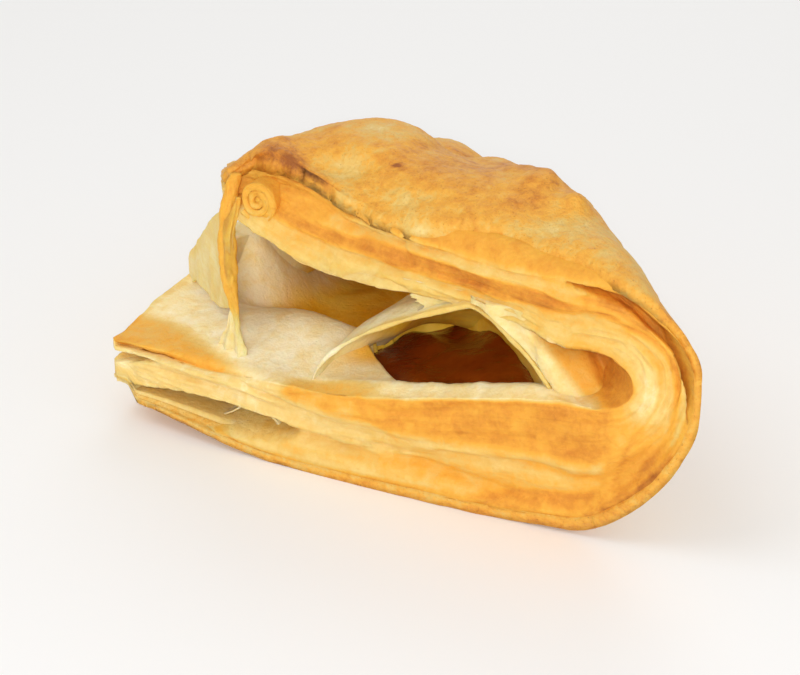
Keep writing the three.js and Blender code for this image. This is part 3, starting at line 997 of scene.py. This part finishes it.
def vaultMarks(u, v, t, p):
    lip = (1 - ease(2, 4.5, p.y)) * ease(46, 60, p.x)
    # the skin's inside, and its floor further in, take the warm tint: jam soak and painted shade in the
    # chamber
    jamSoakAndShade = ease(3, 10, p.y) * ease(46, 54, p.x) if t == 1 else ease(13, 22, p.y)
    return 0.1 + 0.26 * lip, jamSoakAndShade, t, p.x


def skinRelief(u, v, t, p):
    return skins["fibre"] * wobble(p.x * 0.14, p.y * 0.14, p.z * 0.14, 4)


def besideRim(x, z):
    # how far a point of the seam wall lies to the right of the vault's rim
    return x - skins["weld"] - 16 * (max(0.0, skins["start"] - 4.5 - z) / 12) ** 0.62


def seamPlace(u, v, t):
    left = mix(67, 62, v) + 2.6 * wobble(v * 7, 1, 0, 3)
    x = mix(left, mix(108, 104, t), u)
    base = vaultRim(x) - skins["thick"] if x < 90 else 24
    z = mix(base, ceilingFront(x) + 2.5, v)
    aside = besideRim(x, z)
    leg = ease(-1, 1, aside) * ease(72, 78, x)
    y = 4.2 - 2.8 * leg + 6.5 * ease(4.5, 14, aside) * ease(86, 92, x)
    y += 2.5 * ease(0.55, 0.8, v) * ease(88, 93, x) + 0.4 * sin(0.9 * x + 0.5 * z) * leg + 5 * t
    return Vector((x - ease(88, 106, x) * max(0.0, y - 4.5), y, z))


def seamMarks(u, v, t, p):
    aside = besideRim(p.x, p.z)
    # yellow, then deep orange toward the fold: painted shade in the pocket of the inner bend; browner
    # near the top as well
    brown = mix(0.56, 0.85, ease(8.5, 11, aside))
    toast = mix(0.2, brown, ease(5.2, 6.8, aside) * ease(88, 92, p.x))
    return toast + 0.25 * ease(0.75, 0.95, v) * ease(84, 92, p.x), 0.0, p.z, p.x


def rearPlace(u, v, t):
    y = mix(skins["rearFrom"], skins["rearTo"], u)
    low = mix(slabRear(y) - 1, 25.5, ease(26, 38, y))
    top = mix(low, ceilingRear(y) + 2, ease(44, 54, y))
    inward = skins["thick"] + 11 * ease(30, 54, y) * (1 - ease(66, 80, y)) + 4 * ease(60, 76, y)
    inward += 2.2 * sin(pi * v) * (1 - ease(50, 62, y))
    return Vector((mix(2.5, 1, u) + inward * t, y, mix(slabRear(y) - 3, top, v)))


def rearMarks(u, v, t, p):
    # the warm tint further back and on the membrane's inside is painted shade deep in the pocket
    jamSoakAndShade = ease(45, 54, p.y) * (1 - 0.5 * v) if t == 1 else 0.0
    return mix(0.06, 0.42, ease(45, 70, p.y)), max(jamSoakAndShade, 0.2 * t), p.z, p.y


bm = newPiece()
placeBlock(bm, skins["vaultCells"], vaultPlace, vaultMarks, skinRelief)
placeBlock(bm, skins["seamCells"], seamPlace, seamMarks, skinRelief)
placeBlock(bm, skins["rearCells"], rearPlace, rearMarks, skinRelief)
finishPiece("inner_skins", bm, skinFinish, "baked_pastry")

# the torn web between the free corners: a browned strand, a pale flap and a veil at its foot
web = {
    "strandCells": (16, 140, 3), "flapCells": (80, 60, 1), "veilCells": (60, 24, 1),
    # the flap's near end, its direction seen from above, length and thickness, mm
    "x": 27, "y": 5, "along": (-0.737, 0.676), "long": 39, "thick": 0.7,
    "foot": 16.2, "tall": 33.8,  # the strand's height at its foot, and how far the flap climbs it
    # the strand from its foot up: x, y, z and width, mm
    "strand": [
        (27.4, 4.7, 16.2, 2.4), (26.5, 5.0, 21.0, 0.9), (25.2, 5.6, 25.5, 1.4),
        (23.9, 6.4, 30.2, 2.8), (22.9, 7.2, 35.0, 3.6), (22.4, 7.9, 39.5, 3.2),
        (22.4, 8.4, 44.6, 3.0), (22.9, 11.2, 51.4, 2.6),
    ],
}


def strandPoint(k):
    spots = web["strand"]
    step = min(len(spots) - 2, int(k * (len(spots) - 1)))
    part = k * (len(spots) - 1) - step
    eased = ease(0, 1, part) * 0.5 + part * 0.5
    return [mix(a, b, eased) for a, b in zip(spots[step], spots[step + 1])]


def strandPlace(u, v, t):
    x, y, z, wide = strandPoint(v)
    side = (u - 0.5) * wide
    bulge = sqrt(max(0.0, 1 - (2 * u - 1) ** 2)) * mix(0.5, 1.5, ease(22, 32, z)) + 0.15
    front = (0.5 - t) * bulge
    return Vector((x + 0.88 * side + 0.47 * front, y + 0.47 * side - 0.88 * front, z))


def flapPlace(u, v, t):
    # g is mm from the strand; within 5 mm of it the flap leans over to meet it
    g = mix(0.6, web["long"], u)
    bow = sin(pi * g / web["long"])
    low = 19.4 + 9.5 * exp(-g / 10) - 3.2 * ease(31, 38, g)
    high = min(47.5, 51.2 - 0.765 * g + 0.6 * bow) - 4.5 * (1 - ease(0.6, 3.2, g))
    z = mix(low, max(high, low + 0.8), v)
    out = 0.4 * bow - 2 * ease(38, 48, z) + web["thick"] * (0.5 - t) + 0.6 * wobble(g * 0.1, z * 0.1, 4)
    ax, ay = web["along"]
    strandX = strandPoint(min(1, max(0, (z - web["foot"]) / web["tall"])))[0] - 0.3
    free = ease(0, 5, g)
    x = mix(strandX, web["x"] + ax * g - ay * out, free)
    y = web["y"] + ay * g + ax * out + 1.6 * (1 - free) * ease(20, 40, z)
    return Vector((x, y, z))


def veilPlace(u, v, t):
    x, y, z = strandPoint(mix(0.02, 0.42, v))[:3]
    spread = (1 - v) ** 1.6
    x += mix(-7.2, 0.6, u) * spread
    y += mix(2.0, 0.3, u) * spread + 0.5 * sin(u * 15) * spread + 0.35 * (t - 0.5)
    return Vector((x, y, z))


def strandMarks(u, v, t, p):
    return 0.22 + 0.42 * ease(21, 28, p.z), 0.0, p.z, u * 30


def strandRelief(u, v, t, p):
    return 0.3 * wobble(p.x * 1.1, p.y * 1.1, p.z * 0.3, 3)


def flapMarks(u, v, t, p):
    browned = (1 - ease(0.02, 0.22, u)) * ease(25, 34, p.z)
    return 0.22 + 0.1 * ease(0.6, 1, v) + 0.36 * browned, 0.0, p.z, u * 30


def flapRelief(u, v, t, p):
    return 0.2 * wobble(p.x * 0.3, p.y * 0.3, p.z * 0.2, 3)


def veilMarks(u, v, t, p):
    return 0.16, 0.0, p.z, u * 30


bm = newPiece()
placeBlock(bm, web["strandCells"], strandPlace, strandMarks, strandRelief)
placeBlock(bm, web["flapCells"], flapPlace, flapMarks, flapRelief)
placeBlock(bm, web["veilCells"], veilPlace, veilMarks)
bmesh.ops.remove_doubles(bm, verts=bm.verts, dist=0.0001)  # the veil's top comes to a point
finishPiece("torn_web", bm, skinFinish, "baked_pastry")

# the rolled-up end of the top sheet's front edge, mm
curl = {
    "cells": (150, 14, 6), "x": 28.8, "z": 47.6, "from": 8.5, "long": 8,
    "radius": 4.6, "turns": 2.9, "leaf": 1.42,
}


def curlPlace(u, v, t):
    angle = u * curl["turns"] * 2 * pi
    r = mix(0.5, curl["radius"], u) - t * curl["leaf"] * mix(0.85, 1, u)
    ragged = 0.6 * wobble(angle * 0.5, 2, t) + 0.6 * (1 - u)
    y = curl["from"] + curl["long"] * v + ragged * (1 - v) - 0.2 * sin(pi * t) * (1 - v)
    return Vector((curl["x"] - r * cos(angle), y, curl["z"] + r * sin(angle)))


def curlMarks(u, v, t, p):
    return 0.58 + 0.06 * abs(2 * t - 1), 0.0, u * 20, v * 9


def curlRelief(u, v, t, p):
    return 0.12 * wobble(p.x * 0.6, p.y * 0.3, p.z * 0.6, 3)


bm = newPiece()
placeBlock(bm, curl["cells"], curlPlace, curlMarks, curlRelief)
finishPiece("rolled_end", bm, doughFinish, "baked_pastry")

# two thin walls left standing in the lower bubble, mm
bubbleWalls = {
    "cells": (14, 20, 1), "thick": 0.5, "flare": 1.8,
    # x and z at the roof, x and z at the floor, bow in x, y in front and behind
    "walls": [(27.4, 8.8, 20.4, 3.0, 2.2, 2.0, 9), (30.2, 8.6, 35.4, 3.2, 1.6, 2.0, 8)],
}


def bubbleWallPlace(xTop, zTop, xLow, zLow, bow, near, far):
    def place(u, v, t):
        k = mix(-0.08, 1.08, v)
        wide = bubbleWalls["thick"] + bubbleWalls["flare"] * (2 * v - 1) ** 4
        x = mix(xLow, xTop, k) + bow * sin(pi * k) + wide * (t - 0.5)
        y = mix(near + 0.8 * sin(pi * v) + 1.6 * (1 - v), far, u)
        return Vector((x + 0.4 * wobble(y * 0.4, v * 3, xTop), y, mix(zLow, zTop, k)))
    return place


def bubbleWallMarks(u, v, t, p):
    return 0.12, 0.0, p.z, p.y


bm = newPiece()
for wall in bubbleWalls["walls"]:
    placeBlock(bm, bubbleWalls["cells"], bubbleWallPlace(*wall), bubbleWallMarks)
finishPiece("bubble_walls", bm, skinFinish, "baked_pastry")

# the jam, which stands clear of the hollow's walls by the gap, mm
jam = {"cells": (110, 70, 4), "gap": 0.35, "crown": 1.8, "climb": 4, "lumps": 0.22}


def jamPlace(u, v, t):
    gap = jam["gap"]
    share = inRows(u)
    x = mix(hollow["left"] + gap, hollow["right"] - 3 * gap, share)
    lip, back = hollowLip(x) + gap, hollowBack(x) - 1.6 * gap
    around = hollowRound(share)
    y = (lip + back) / 2 + (back - lip) / 2 * around * (2 * v - 1)
    crown = jam["crown"] * around * sin(pi * v) + 0.5 * sin(0.35 * x + 0.5 * y)
    climb = jam["climb"] * sin(pi * share) * ease(0.45, 1, v) * ease(0.3, 0.6, share)
    top = hollow["level"] + hollow["tilt"] * share + crown + climb
    return Vector((x, y, mix(hollowFloor(share) + gap, top, t)))


def jamMarks(u, v, t, p):
    return 0.0, 0.0, 0.0, 0.0


def jamRelief(u, v, t, p):
    return jam["lumps"] * wobble(p.x * 0.25, p.y * 0.25, 1, 3) - 0.2 if t == 1 else 0.0


bm = newPiece()
placeBlock(bm, jam["cells"], jamPlace, jamMarks, jamRelief)
finishPiece("jam_pool", bm, cookedJam, "jam", "jam_filling")

print("turnover done")
